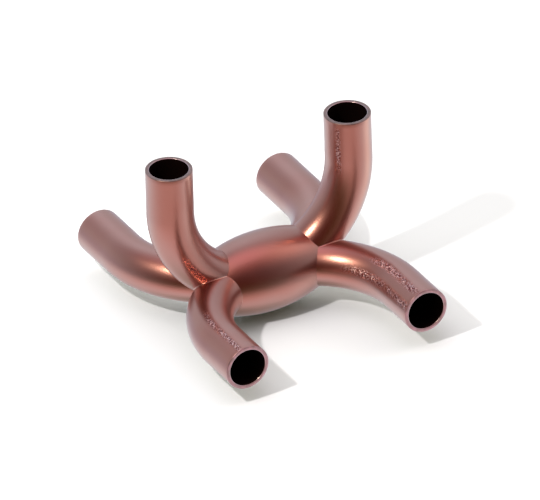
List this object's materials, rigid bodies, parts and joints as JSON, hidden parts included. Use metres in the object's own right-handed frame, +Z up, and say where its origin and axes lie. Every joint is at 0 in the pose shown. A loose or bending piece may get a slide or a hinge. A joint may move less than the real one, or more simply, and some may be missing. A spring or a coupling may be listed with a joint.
{
  "type": "branch manifold fitting",
  "caption": "Copper branch fitting: a bulged barrel whose two ends each fan out into bent open tubes, one up, one to the front and one to the back.",
  "frame": {"origin": "under the middle of the barrel, on the plane that the barrel's lowest line touches", "axes": "+X along the barrel, from the left pair of ports to the right, +Y along the back branches, +Z up along the top branches"},
  "size_m": [0.0838, 0.1018, 0.0646],
  "materials": {
    "barrel_copper": "satin drawn copper",
    "tube_copper": "satin drawn copper with a fine grain",
    "braze": "smooth copper-phosphorus braze"
  },
  "bodies": {
    "root": {"barrel_shell": "barrel_copper", "left_top_elbow": "tube_copper", "left_front_elbow": "tube_copper", "left_back_elbow": "tube_copper", "right_top_elbow": "tube_copper", "right_front_elbow": "tube_copper", "right_back_elbow": "tube_copper", "left_root_braze": "braze", "right_root_braze": "braze", "left_top_front_braze": "braze", "left_top_back_braze": "braze", "left_front_back_braze": "braze", "right_top_front_braze": "braze", "right_top_back_braze": "braze", "right_front_back_braze": "braze"}
  },
  "joints": []
}
